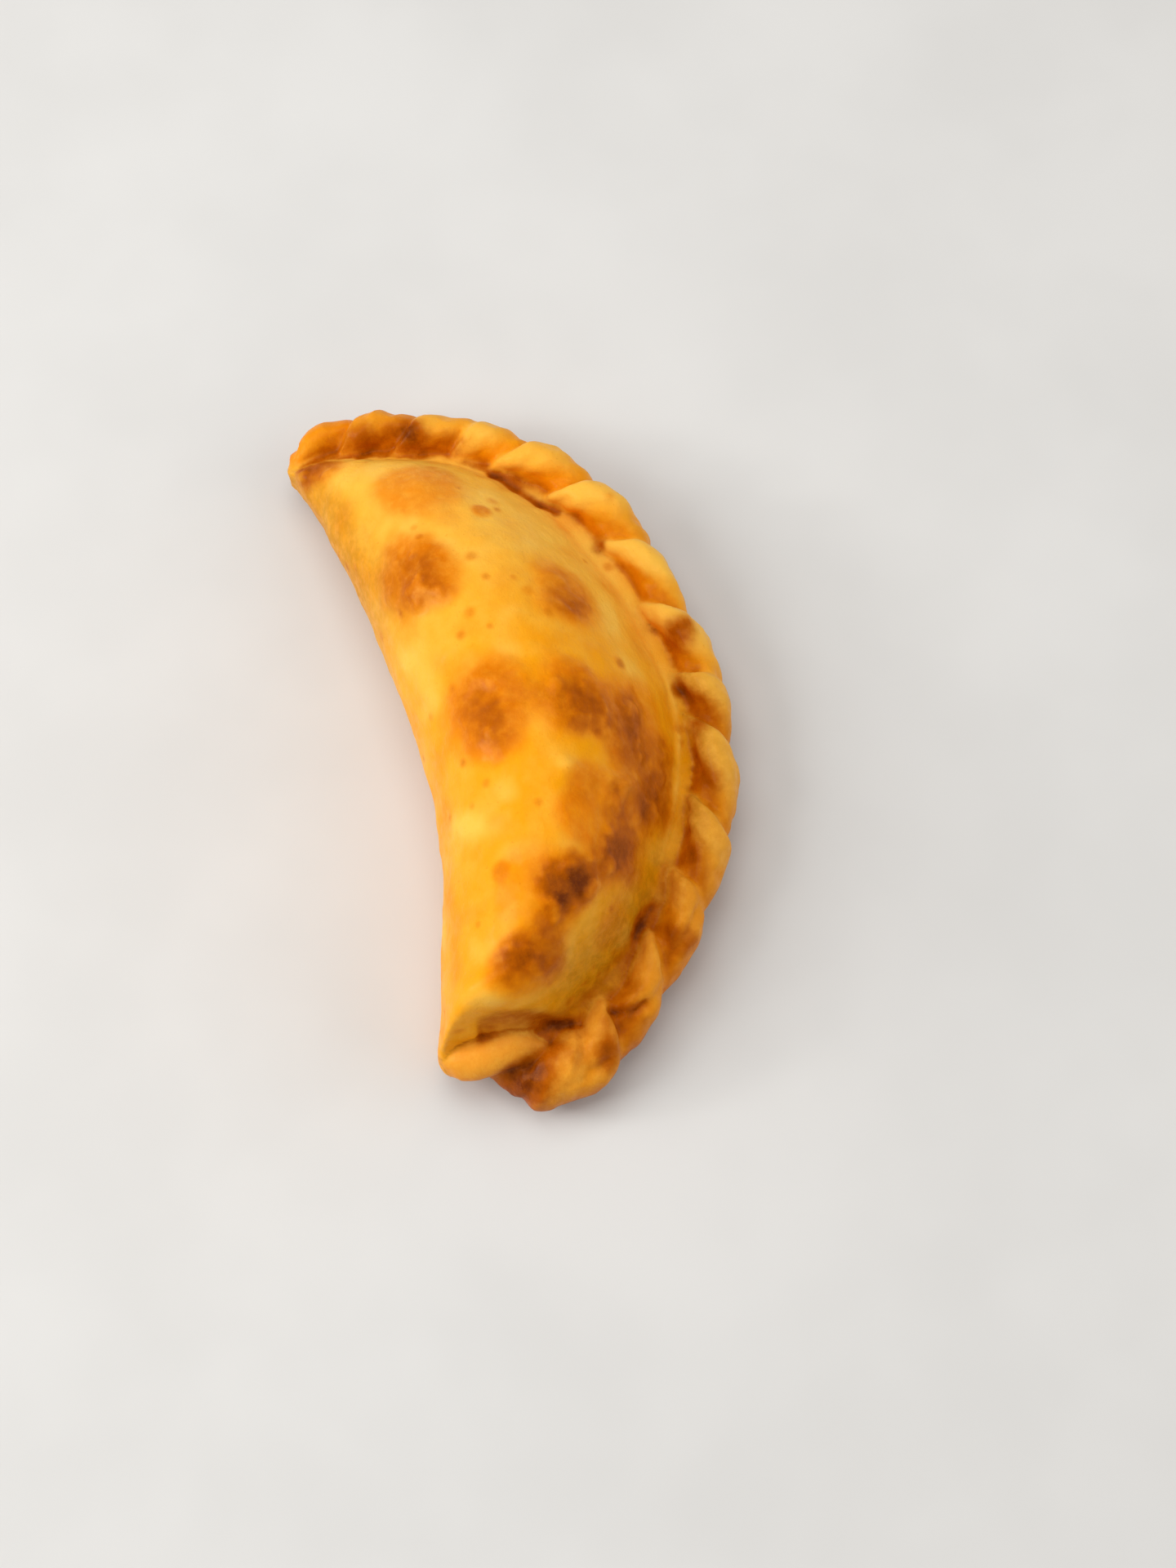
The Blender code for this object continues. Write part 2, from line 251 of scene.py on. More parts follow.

# Wrinkles, creases and painted highlights, each a line on the plan with its half width, its height, how brown
# and how pale it is; the brown of the creases is painted shade.
WRINKLES_SHADES_AND_HIGHLIGHTS = (
    # The raised rim of the largest burst blister.
    (((19.9, 0.0), (22.4, 5.6), (23.9, 11.0)), 1.5, 0.8, 0.0, 0.35),
    # The crease between the dome and the leaf, darkened with painted shade, and a painted highlight along the
    # leaf.
    (((55.2, -27.5), (55.4, -24.5), (55.9, -21.0), (56.5, -16.5), (57.1, -11.5)), 0.8, -0.7, 0.45, 0.0),
    (((57.0, -30.0), (57.3, -26.5), (57.6, -21.5), (58.2, -17.5)), 1.3, 0.1, 0.0, 0.95),
    # A pit of the seam, and creases and a groove between the last folds, darkened with painted shade.
    (((41.4, 9.2), (43.8, 6.6), (46.2, 3.9)), 0.7, -0.4, 0.36, 0.0),
    (((57.2, -4.4), (58.6, -1.2), (58.4, 2.2)), 0.8, -0.8, 0.60, 0.0),
    (((59.0, -5.2), (62.4, -6.7), (66.4, -7.8)), 1.5, -0.6, 0.36, 0.0),
    # The gap beside the first folds, darkened with painted shade.
    (((-47.5, 8.0), (-44.5, 10.2), (-40.1, 13.4), (-36.0, 16.8)), 0.9, -0.4, 0.42, 0.0),
    # Two painted highlights on the folded side.
    (((21.9, -19.4), (24.0, -18.1)), 2.4, 0.35, 0.0, 0.85),
    (((-12.0, -17.5), (-7.3, -17.3), (-2.6, -17.7)), 2.4, 0.0, 0.0, 0.6),
)
WRINKLE_STRIDE = 6
WRINKLE_LEVELS = (8 * MM, 11 * MM)

# Fine pleats of the dome at the seam: width, length and height, where they are gone and in full by the way in
# from the seam, and where they are gone and in full along it.
PLEAT_WIDTH = 1.9
PLEAT_LENGTH = 11
PLEAT_HEIGHT = 0.30
PLEAT_REACH = (8, 1.5)
PLEATS_END = (166, 150)
PLEAT_SEED = 7

# The dome's thin ridge: how far in from the seam it is, half its width and its height.
RIDGE_INSET = 0.8
RIDGE_HALF_WIDTH = 0.5
RIDGE_HEIGHT = 0.5

# Wrinkles of the folds: how many across and round one, how far apart two folds are in the noise, and height.
FOLD_WRINKLES = (8, 3, 5.3)
FOLD_WRINKLE_HEIGHT = 0.55
FOLD_WRINKLE_SEED = 8

# The folds with a cross crease: its place round a fold, its slant and half width there, and its depth.
CREASED_FOLDS = (11, 12, 13)
CREASE_PLACE = 0.41
CREASE_SLANT = 0.07
CREASE_HALF_WIDTH = 0.03
CREASE_DEPTH = 0.9

# For each fold from the sharp tip to the blunt end: how brown its back is, which is browning and painted
# shade where it tucks under the next fold; how strong the painted highlight on its crest is; and how orange
# all of it. The leaf is as orange as the last fold.
FOLD_BACKS = (0.20, 0.34, 0.12, 0.16, 0.30, 0.34, 0.14, 0.18, 0.46, 0.40, 0.50, 0.55, 0.50, 0.56, 0.44)
FOLD_CREST_HIGHLIGHTS = (0.2, 0.3, 0.6, 0.7, 0.7, 0.9, 0.9, 1.0, 1.1, 1.1, 1.0, 0.7, 0.6, 0.8, 0.9)
FOLD_TOAST = (0.65, 0.50, 0.20, 0.15, 0.15, 0.10, 0.00, 0.10, 0.22, 0.28, 0.45, 0.65, 0.65, 0.65, 0.60)

# Stretches of the seam, in millimetres along it: where each begins, is in full, fades and is gone. The
# painted shadows on the lip under the rope also have how brown they are.
FIRST_FOLDS = (3, 8, 30, 40)
INNER_PATCHES = (66, 78, 124, 136)
PALE_SHOULDER = (40, 55, 87, 104)
SEAM_RIDGE = (88, 96, 124, 132)
OLIVE_SEAM = (20, 60, 160, 172)
OLIVE_ROPE = (84, 94, 124, 138)
OLIVE_END = (118, 138, 154, 166)
LIP_SHADOWS = (((1, 7, 24, 32), 0.45), ((32, 38, 44, 52), 0.42), ((123, 129, 162, 170), 0.28))

# Where along the seam a look begins that goes on to the blunt end, and where it is in full.
MUSTARD_ROPE = (88, 100)
PALE_TIPS = (118, 130)
BROWN_OUTER_ENDS = (146, 154)

# Where a look is gone and where it is in full: by the place round a fold, from its top at the seam (0) to its
# under end (1),
PATCH_ROUND = (0.44, 0.20)
OUTER_END_ROUND = (0.38, 0.56)
BACK_ROUND = (0.55, 0.12)
FIRST_ROUND = (0.36, 0.14)
TIP_ROUND = (0.34, 0.12)
ROPE_SEAM_ROUND = (0.40, 0.12)
# by the place from a fold's front (0) towards its tail (about 1),
PATCH_TAIL = (0.2, 0.6)
BACK_TAIL = (0.30, 0.95)
CREST_TAIL = (0.70, 0.15)
TIP_TAIL = (0.75, 0.20)
# by millimetres in from the seam,
LIP_SHADOW_IN = (1.5, 0.1)
SHOULDER_IN = (14, 5)
OLIVE_SEAM_IN = (5, 1)
OLIVE_END_IN = (11, 2)
# by the place along the pasty,
TIP_SIDE_X = (-5 * MM, -35 * MM)
SHARP_HALF_X = (2 * MM, -34 * MM)
# by how far the skin faces up or to the rope, from -1 to 1,
UNDERSIDE_FACING = (0.1, -0.7)
CREST_FACING = (-0.2, 0.5)
NEAR_SIDE_FACING = (-0.1, -0.6)
TIP_SIDE_FACING = (-0.45, -0.85)
# and by the depth of small and wide hollows in millimetres, and by the blotches from 0 to 1.
NEAR_HOLLOW = (0.05, 0.55)
WIDE_HOLLOW = (0.25, 1.3)
ORANGE_BLOTCH = (0.58, 0.9)
PALE_BLOTCH = (0.45, 0.1)

# How strong each look is where it is in full.
INNER_PATCH_BROWN = 0.26
OUTER_END_BROWN = 0.34
FIRST_FOLDS_BROWN = 0.34
HOLLOW_SHADE = 0.60
DOME_HOLLOW_SHARE = 0.6
UNDERSIDE_SHADE = 0.22
MOTTLE_BROWN = 0.12
BUBBLE_TOPS_SPARED = 0.45
FOLD_BACK_ORANGE = 0.20
UNDERSIDE_SHADE_ORANGE = 0.3
BLOTCH_ORANGE = 0.35
MOTTLE_ORANGE = 0.15
CREST_HIGHLIGHT = 0.9
TIP_PALE = 0.6
BUBBLE_TOP_PALE = 0.30
NEAR_SIDE_HIGHLIGHT = 0.05
RIDGE_PALE = 0.8
BLOTCH_PALE = 0.6
SHARP_HALF_PALE = 0.60
SHOULDER_PALE = 0.35
TIP_SIDE_DIMMED = 0.8
SEAM_OLIVE = 0.22
END_OLIVE = 0.55
ROPE_SEAM_OLIVE = 0.45
MUSTARD_OLIVE = 0.18
TIP_SIDE_SHADE_OLIVE = 0.55

# Colours of the crust, as a picture gives them, from 0 to 255.
GOLDEN = (244, 158, 8)
PALE_GOLD = (250, 189, 72)
ORANGE = (228, 124, 0)
OLIVE = (168, 108, 0)
BROWN = (178, 86, 0)
DARK_BROWN = (100, 34, 0)
FLECK_BROWN = (206, 108, 0)

# The photograph's view, from its perspective: the camera's turn and rise, its focal length in pixels, and
# the pixels to a millimetre. It aims this far right of, and away from, the origin of the plan above.
VIEW_TURN = math.radians(71.25)
VIEW_RISE = math.radians(70)
VIEW_FOCAL = 3800
VIEW_SCALE = 6.66
VIEW_AIM_RIGHT = 13.5 * MM
VIEW_AIM_AWAY = -4.8 * MM
IMAGE_HEIGHT = 1920
SENSOR = 36
NEAREST_SEEN = 0.01

# How far the solid's plan moved to put the origin under the middle of its box.
PLAN_SHIFT = Vector((2.781 * MM, -4.398 * MM, 0))

# The lights: how far right of the pasty, away from the viewer and up each one is, its size and its power.
LIGHTS = (
    ("key", -0.68, -0.10, 0.56, 0.50, 4.0),
    ("window", -0.92, -0.06, 0.40, 0.12, 1.3),
    ("top", -0.10, 0.20, 0.95, 0.70, 3.5),
    ("fill", 0.80, -0.10, 0.60, 0.80, 2.3),
)

# The room and the floor, which reaches this many metres from the middle.
ROOM_COLOUR = (1.0, 0.98, 0.95, 1)
ROOM_LIGHT = 0.38
FLOOR_REACH = 3
FLOOR_TONES = ((0.66, 0.65, 0.63, 1), (0.70, 0.69, 0.67, 1))


def through(knots, values, x):
    """A smooth curve through values at knots, read at x."""
    knots = np.asarray(knots, float)
    values = np.asarray(values, float)
    x = np.asarray(x, float)
    slopes = np.gradient(values, knots, axis=0)
    i = np.clip(np.searchsorted(knots, x) - 1, 0, len(knots) - 2)
    span = knots[i + 1] - knots[i]
    t = np.clip((x - knots[i]) / span, 0, 1)
    if values.ndim > 1:
        t = t[..., None]
        span = span[..., None]
    ease_in = 2 * t**3 - 3 * t**2 + 1
    bend_in = t**3 - 2 * t**2 + t
    bend_out = t**3 - t**2
    return (
        ease_in * values[i]
        + (1 - ease_in) * values[i + 1]
        + span * (bend_in * slopes[i] + bend_out * slopes[i + 1])
    )


def level(stations, x):
    """The height or width that a list of stations gives at x, in metres."""
    knots, values = zip(*stations)
    return through(knots, values, x) * MM


def rise(start, end, x):
    """An eased step from 0 at start to 1 at end; it falls where end is below start."""
    t = np.clip((np.asarray(x, float) - start) / (end - start), 0, 1)
    return t * t * (3 - 2 * t)


def between(stretch, x):
    """1 inside a stretch and 0 outside it, with an easing at each end."""
    begins, full, fades, gone = stretch
    return rise(begins, full, x) * rise(gone, fades, x)


def cloud(points, size, seed):
    """Smooth noise between about -1 and 1 at each point, with lumps of this size."""
    spread = np.asarray(points) / size + np.array([seed * 3.7, seed * 1.3, seed * 7.9])
    return np.array([noise.noise(Vector(p)) for p in spread])


def clouds(points, layers):
    """Layers of noise added together."""
    return sum(strength * cloud(points, size * MM, seed) for size, strength, seed in layers)


class PlanCurve:
    """A smooth curve on the plan, read by the distance along it."""

    def __init__(self, points):
        points = np.asarray(points, float) * MM
        chords = np.linalg.norm(np.diff(points, axis=0), axis=1)
        knots = np.concatenate([[0], np.cumsum(chords)])
        self.line = through(knots, points, np.linspace(0, knots[-1], CURVE_STEPS))
        steps = np.linalg.norm(np.diff(self.line, axis=0), axis=1)
        self.distance = np.concatenate([[0], np.cumsum(steps)])
        self.length = self.distance[-1]
        self.heading = np.gradient(self.line, self.distance, axis=0)

    def at(self, distance):
        """The points at these distances along the curve."""
        return np.stack([np.interp(distance, self.distance, self.line[:, k]) for k in (0, 1)], -1)

    def outward(self, distance):
        """The level directions square to the curve, on its left."""
        along = np.stack([np.interp(distance, self.distance, self.heading[:, k]) for k in (0, 1)], -1)
        along /= np.linalg.norm(along, axis=-1, keepdims=True)
        return np.stack([-along[..., 1], along[..., 0]], -1)


def bulge(share, seam_rounding):
    """How far the dough stands up between its folded side and its seam, from 0 to 1."""
    def raw(s):
        return s**SIDE_ROUNDING * (1 - s) ** seam_rounding * (1 + LEAN_TO_SEAM * s)

    return raw(share) / raw(np.linspace(0, 1, BULGE_STEPS)).max()


def rest_on_floor(height):
    """Flattens what would reach below the floor, with a short easing at its edge."""
    eased = (height + FLAT_EASE) ** 2 / (4 * FLAT_EASE)
    return np.where(height > FLAT_EASE, height, np.where(height < -FLAT_EASE, 0.0, eased))


class Dough:
    """Closed dough surfaces gathered before they are fused, with what each point needs for its looks.

    A note holds: kind of surface, number of the fold, millimetres along the seam, place from a fold's front
    (0) to its tail (1), place from its top (0) to its under end (1), and millimetres in from the seam.
    """

    def __init__(self):
        self.points = []
        self.notes = []
        self.faces = []

    def add(self, rings, notes):
        """Takes a tube of rings, closes both its ends and keeps its notes."""
        first = sum(len(p) for p in self.points)
        count = len(rings[0])
        last = first + count * (len(rings) - 1)
        self.points.append(np.concatenate(rings))
        self.notes.append(np.concatenate(notes))
        for low in range(first, last, count):
            for k in range(count):
                after = (k + 1) % count
                self.faces.append((low + k, low + after, low + count + after, low + count + k))
        self.faces.append(tuple(range(first, first + count))[::-1])
        self.faces.append(tuple(range(last, last + count)))

    def nearest_notes(self, points):
        """The notes of the dough point that is nearest to each of these points."""
        source = np.concatenate(self.points)
        tree = kdtree.KDTree(len(source))
        for number, point in enumerate(source):
            tree.insert(point, number)
        tree.balance()
        found = [tree.find(Vector(point))[1] for point in points]
        return np.concatenate(self.notes)[found]


def note(kind, fold, along, tail, wrap, inset, count):
    """The notes of one ring's points."""
    values = (kind, fold, along, tail, wrap, inset)
    return np.column_stack([np.broadcast_to(np.asarray(value, float), count) for value in values])


def add_body(dough, folded_side, seam):
    """The stuffed body, one ring for each rib from the sharp tip to the blunt end."""
    turn = np.linspace(0, 2 * math.pi, BODY_ROUND, endpoint=False)
    share = (1 - np.cos(turn)) / 2
    rings, notes = [], []
    for u in (1 - np.cos(np.linspace(0, math.pi, BODY_RIBS))) / 2:
        fold = folded_side.at(u * folded_side.length)
        along = u * seam.length
        lip = LIP_REACH * level(ROPE_REACH, along / MM)
        edge = seam.at(along) + seam.outward(along) * lip
        across = share * np.linalg.norm(edge - fold)
        seam_rounding = through(*zip(*SEAM_ROUNDING), u)
        dome = bulge(np.clip(across / max(across.max() - lip, MM), 0, 1), seam_rounding)
        to_rim = np.minimum((across.max() - across) / lip, SIDE_RIM * share)
        lip_half = LIP_HALF_HEIGHT * np.sqrt(np.clip(to_rim, 0, 1))
        plan = fold + (edge - fold) * share[:, None]
        middle = level(FOLD_LEVEL, u) * (1 - share) + level(SEAM_LEVEL, u) * share
        top = middle + np.maximum((level(DOME_TOP, u) - middle) * dome, lip_half)
        under = middle - np.maximum((middle - level(UNDERSIDE, u)) * dome, lip_half)
        height = np.where(turn < math.pi, top, rest_on_floor(under))
        rings.append(np.column_stack([plan, height]))
        inset = (across.max() - lip - across) / MM
        notes.append(note(BODY, -1, along / MM, 0, 0, inset, BODY_ROUND))
    dough.add(rings, notes)


def rope_point(seam, along, angle, size):
    """A point round the rope: size is 1 at its skin, and angle 0 points out, 90 degrees up."""
    reach = level(ROPE_REACH, along / MM)
    tall = level(ROPE_HEIGHT, along / MM)
    across = reach / 2 * (1 + size * np.cos(angle))
    height = level(ROPE_LEVEL, along / MM) + tall / 2 * size * np.sin(angle)
    plan = seam.at(along) + seam.outward(along) * across[..., None]
    return np.concatenate([plan, height[..., None]], -1)


def add_core(dough, seam):
    """The middle of the rope, under its folds."""
    turn = np.linspace(0, 2 * math.pi, CORE_ROUND, endpoint=False)
    rings, notes = [], []
    for along in np.linspace(CORE_START, CORE_END, CORE_STEPS):
        rings.append(rope_point(seam, along * MM, -turn, CORE_SHARE))
        notes.append(note(CORE, -1, along, CORE_TAIL, PLAIN_WRAP, 0, CORE_ROUND))
    dough.add(rings, notes)


def add_fold(dough, seam, number, swell, relief):
    """One fold: a flap of dough that starts thin at the seam, wraps over the edge and tucks in below."""
    turn = np.linspace(0, 2 * math.pi, FOLD_ROUND, endpoint=False)
    back = (1 - np.cos(turn)) / 2
    proud = np.sin(turn)
    start, pitch = FOLDS[number]
    room = min(1.0, (ROPE_END - start) / (pitch * (FOLD_SKEW + FOLD_WIDTH)))
    rings, notes = [], []
    for a in np.linspace(FOLD_MARGIN, 1 - FOLD_MARGIN, FOLD_STEPS):
        angle = FOLD_TOP_ANGLE + (FOLD_UNDER_ANGLE - FOLD_TOP_ANGLE) * a
        spread = math.sin(math.pi * a) ** END_ROUNDING
        width = FOLD_WIDTH * (END_WIDTH + (1 - END_WIDTH) * spread)
        along = start + pitch * room * (FOLD_SKEW * a + width * back)
        drop = TAIL_DROP * relief * (1 - (1 - RIM_DROP) * max(0.0, math.cos(angle)))
        thickness = FOLD_THICKNESS * relief * (END_THICKNESS + (1 - END_THICKNESS) * spread)
        size = swell * (FRONT_SIZE - drop * back + thickness * proud * (1 - BACK_THICKNESS * back))
        rings.append(rope_point(seam, along * MM, angle, size))
        notes.append(note(FOLD, number, along, back * width, a, 0, FOLD_ROUND))
    dough.add(rings, notes)


def add_folds(dough, seam):
    """Every fold of the rope, each a little different in size."""
    chance = np.random.default_rng(JITTER_SEED)
    for number in range(len(FOLDS)):
        swell = 1 + FOLD_JITTER * chance.uniform(-1, 1)
        relief = CALM_RELIEF if number < CALM_FOLDS else 1.0
        add_fold(dough, seam, number, swell, relief)


def add_leaf(dough):
    """The leaf that lies along the blunt end, pointed where it meets the last folds."""
    stations = np.array(END_LEAF, float) * MM
    knots = np.arange(len(stations))
    line = through(knots, stations, np.linspace(0, knots[-1], LEAF_STEPS))
    heading = np.gradient(line[:, :2], axis=0)
    heading /= np.linalg.norm(heading, axis=1, keepdims=True)
    turn = np.linspace(0, 2 * math.pi, LEAF_ROUND, endpoint=False)
    tail = LEAF_TAIL + LEAF_TAIL_SPREAD * np.cos(turn)
    rings, notes = [], []
    for (x, y, middle, half_width, half_height), (along_x, along_y) in zip(line, heading):
        sideways = half_width * np.cos(turn)
        upward = half_height * np.sin(turn)
        rings.append(np.column_stack([x + along_y * sideways, y - along_x * sideways, middle + upward]))
        notes.append(note(LEAF, len(FOLDS), 0, tail, PLAIN_WRAP, 0, LEAF_ROUND))
    dough.add(rings, notes)


def fused_skin(dough):
    """One skin over all the dough, as an object with its faces pointing out."""
    mesh = bpy.data.meshes.new("dough")
    mesh.from_pydata(np.concatenate(dough.points).tolist(), [], dough.faces)
    shape = bmesh.new()
    shape.from_mesh(mesh)
    bmesh.ops.recalc_face_normals(shape, faces=shape.faces)
    shape.to_mesh(mesh)
    shape.free()
    thing = bpy.data.objects.new("crust", mesh)
    bpy.context.scene.collection.objects.link(thing)
    remesh = thing.modifiers.new("fuse", "REMESH")
    remesh.mode = "VOXEL"
    remesh.voxel_size = SKIN_VOXEL
    bpy.context.view_layer.update()
    skin = bpy.data.meshes.new_from_object(thing.evaluated_get(bpy.context.evaluated_depsgraph_get()))
    thing.modifiers.remove(remesh)
    thing.data = skin
    bpy.data.meshes.remove(mesh)
    return thing


def wander(points):
    """A gentle random push at each point, so that what is round on them can come out ragged."""
    pushes = []
    for axis in range(3):
        layers = [(size, strength, seed + axis) for size, strength, seed in RAGGED_EDGES]
        pushes.append(clouds(points, layers))
    return np.column_stack(pushes)


def on_top(points, x, y):
    """The highest of the points that lie near x, y on the plan."""
    flat = np.hypot(points[:, 0] - x * MM, points[:, 1] - y * MM)
    near = points[flat < flat.min() + SAME_COLUMN]
    return near[near[:, 2].argmax()]


def with_more(amount, more):
    """Two amounts from 0 to 1 laid over each other."""
    return 1 - (1 - amount) * (1 - np.clip(more, 0, 1))


class Skin:
    """The fused skin's points, edges and normals as arrays."""

    def __init__(self, thing):
        self.mesh = thing.data
        count = len(self.mesh.vertices)
        self.points = np.empty(count * 3)
        self.mesh.vertices.foreach_get("co", self.points)
        self.points = self.points.reshape(-1, 3)
        self.edges = np.empty(len(self.mesh.edges) * 2, int)
        self.mesh.edges.foreach_get("vertices", self.edges)
        self.edges = self.edges.reshape(-1, 2)
        self.valence = np.bincount(self.edges.ravel(), minlength=count)[:, None]

    def averaged(self, values, times):
        """Values spread to their neighbours this many times, one column for each kind of value."""
        near, far = self.edges.T
        for _ in range(times):
            total = np.zeros_like(values)
            for column in range(values.shape[1]):
                total[:, column] += np.bincount(near, values[far, column], len(values))
                total[:, column] += np.bincount(far, values[near, column], len(values))
            values = (values + total / self.valence) / 2
        return values

    def depth_under(self, smoother, normals):
        """How far each point lies below a smoother skin."""
        return np.einsum("ij,ij->i", smoother - self.points, normals)

    def write(self):
        """Puts the points back in the mesh."""
        self.mesh.vertices.foreach_set("co", self.points.ravel())
        self.mesh.update()

    def normals(self):
        """The normals at the points as they now are."""
        self.write()
        found = np.empty(len(self.points) * 3)
        self.mesh.vertex_normals.foreach_get("vector", found)
        return found.reshape(-1, 3)

    def store(self, name, values):
        """Keeps one number for each point, for the material."""
        attribute = self.mesh.attributes.new(name, "FLOAT", "POINT")
        attribute.data.foreach_set("value", np.clip(values, 0, 1).astype(np.float32))


class Crust(Skin):
    """The skin with the notes of its dough, and how orange, brown, pale and olive each point is."""

    def __init__(self, thing, dough):
        super().__init__(thing)
        self.smooth()
        kind, self.fold, along, self.tail, self.wrap, inset = dough.nearest_notes(self.points).T
        sharp = np.column_stack([kind > BODY, self.tail, along, inset, self.wrap]).astype(float)
        eased = self.averaged(sharp, NOTE_PASSES).T
        self.rope, self.tail_eased, self.along, self.inset, self.wrap_eased = eased
        self.body = 1 - self.rope
        self.on_fold = kind == FOLD
        self.on_leaf = kind == LEAF
        self.number = np.clip(self.fold, 0, len(FOLDS) - 1).astype(int)
        self.orange = np.zeros(len(self.points))
        self.brown = np.zeros(len(self.points))
        self.pale = np.zeros(len(self.points))
        self.raised = np.zeros(len(self.points))
        self.shift_to_solid()

    def smooth(self):
        """Evens out the skin, softens its sharp creases and runs the leaf's corner into the dome."""
        for _ in range(SKIN_SMOOTHING):
            self.points = self.averaged(self.points, 1)
            self.points -= SMOOTHING_BACK * (self.averaged(self.points, 1) - self.points)
        smoother = self.averaged(self.points, CREASE_PASSES)
        depth = self.depth_under(smoother, self.normals())
        sharp = self.averaged(rise(*SHARP_CREASE, depth)[:, None], CREASE_MASK_PASSES)
        self.points += CREASE_SOFTENING * sharp * (smoother - self.points)
        smoother = self.averaged(self.points, MERGING_PASSES)
        x, y, radius = MERGED_CORNER
        away = np.hypot(self.points[:, 0] - x * MM, self.points[:, 1] - y * MM) / (radius * MM)
        self.merged = rise(1.0, 0.4, away)
        self.points += self.merged[:, None] * (smoother - self.points)

    def shift_to_solid(self):
        """Moves the skin so that its box has the middle and floor of the solid that it stands for."""
        low, high = (np.array(corner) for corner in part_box("sambousek"))
        own_low, own_high = self.points.min(0), self.points.max(0)
        move = (low + high - own_low - own_high) / 2
        move[2] = low[2] - own_low[2]
        self.points += move

    def add_spots(self):
        """Lays on the blisters, the stains with the painted shade of creases and of the leaf's underside, and
        the freckles.
        """
        pushes = wander(self.points)
        patches = LEAST_PATCH + MORE_PATCH * rise(*PATCH_EDGE, clouds(self.points, BROWN_PATCHES))

        def away_from(x, y, radius):
            round_there = (self.points - on_top(self.points, x, y)) / (radius * MM)
            return np.linalg.norm(round_there + RAGGED * pushes, axis=1)

        for x, y, radius, how_orange, how_brown, height in BLISTERS:
            away = away_from(x, y, radius)
            self.orange = with_more(self.orange, how_orange * rise(*BLISTER_ORANGE, away))
            self.brown = with_more(self.brown, how_brown * rise(*BLISTER_BROWN, away) * patches)
            self.raised += height * MM * rise(*BLISTER_RISE, away)
        # Stains, and painted shade in creases and under the leaf.
        for x, y, radius, how_brown in STAINS_AND_SHADES:
            self.brown = with_more(self.brown, how_brown * rise(*STAIN_AND_SHADE_BROWN, away_from(x, y, radius)))
        chance = np.random.default_rng(FRECKLE_SEED)
        for centre in self.points[chance.choice(len(self.points), FRECKLES)]:
            away = np.linalg.norm(self.points - centre, axis=1) / (chance.uniform(*FRECKLE_RADIUS) * MM)
            how_brown = chance.uniform(*FRECKLE_BROWN)
            self.orange = with_more(self.orange, FRECKLE_ORANGE * rise(*FRECKLE_CORE, away))
            self.brown = with_more(self.brown, how_brown * rise(*FRECKLE_MIDDLE, away))

    def add_bubbles(self):
        """Small bubbles of the dome, crowded where it browned; their tops stay pale, partly as a painted
        highlight.
        """
        share = BUBBLE_HEIGHT + BROWNED_BUBBLE_HEIGHT * rise(*BUBBLES_CROWD, self.brown)
        height = np.zeros(len(self.points))
        for size, seed in BUBBLES:
            lump = np.clip(cloud(self.points, size * MM, seed) - BUBBLE_LEVEL, 0, 1) ** BUBBLE_ROUNDING
            height += lump * size * MM * share
        height *= self.body * rise(*BUBBLES_IN, self.inset) * rise(*BUBBLES_END, self.along)
        self.bubble_tops = rise(*BUBBLE_TOP, height) * rise(*TOPS_BROWN_TOO, self.brown)
        self.raised += height

    def add_wrinkles_shades_and_highlights(self):
        """Lays on the single wrinkles and creases, the painted shade in the creases and the painted
        highlights.
        """
        x, y, z = self.points.T
        for line, half_width, height, how_brown, how_pale in WRINKLES_SHADES_AND_HIGHLIGHTS:
            marks = PlanCurve(line).line[::WRINKLE_STRIDE]
            away = np.min([np.hypot(x - mark_x, y - mark_y) for mark_x, mark_y in marks], axis=0)
            strength = np.exp(-((away / (half_width * MM)) ** 2)) * rise(*WRINKLE_LEVELS, z)
            self.raised += height * MM * strength
            self.brown = with_more(self.brown, how_brown * strength)
            self.pale = with_more(self.pale, how_pale * strength)

    def add_seam_relief(self):
        """The fine pleats of the dome beside the seam, and its thin ridge."""
        places = np.column_stack([self.along / PLEAT_WIDTH, self.inset / PLEAT_LENGTH, 0 * self.along])
        pleats = PLEAT_HEIGHT * cloud(places, 1, PLEAT_SEED)
        pleats *= self.body * rise(*PLEAT_REACH, self.inset) * rise(*PLEATS_END, self.along)
        ridge = RIDGE_HEIGHT * np.exp(-(((self.inset - RIDGE_INSET) / RIDGE_HALF_WIDTH) ** 2))
        ridge *= self.body * (0.9 + clouds(self.points, RIDGE_LUMPS)) * between(SEAM_RIDGE, self.along)
        self.ridge = ridge
        self.raised += (pleats + ridge) * MM

    def add_rope_relief(self):
        """The wrinkles and lumps of the folds, and the cross crease that some have."""
        across, round_it, apart = FOLD_WRINKLES
        places = np.column_stack([self.tail * across, self.wrap * round_it, self.fold * apart])
        relief = FOLD_WRINKLE_HEIGHT * cloud(places, 1, FOLD_WRINKLE_SEED) * self.on_fold
        relief += self.rope * clouds(self.points, ROPE_LUMPS)
        from_crease = (self.wrap - CREASE_PLACE + CREASE_SLANT * self.tail) / CREASE_HALF_WIDTH
        crease = np.exp(-(from_crease**2)) * rise(0.02, 0.2, self.tail)
        relief -= CREASE_DEPTH * crease * np.isin(self.fold, CREASED_FOLDS) * self.on_fold
        self.raised += self.averaged(relief[:, None], ROPE_RELIEF_PASSES)[:, 0] * MM

    def raise_surface(self):
        """Moves the points by all the relief, less towards the floor."""
        normals = self.normals()
        self.add_spots()
        self.add_bubbles()
        self.add_wrinkles_shades_and_highlights()
        self.add_seam_relief()
        self.add_rope_relief()
        self.raised += (self.body * clouds(self.points, DOME_LUMPS) + clouds(self.points, GRAIN)) * MM
        relief = self.averaged(self.raised[:, None], 1)
        self.points += normals * relief * rise(*LIFT_OFF, self.points[:, 2:])
        self.points[:, 2] = np.maximum(self.points[:, 2], 0)

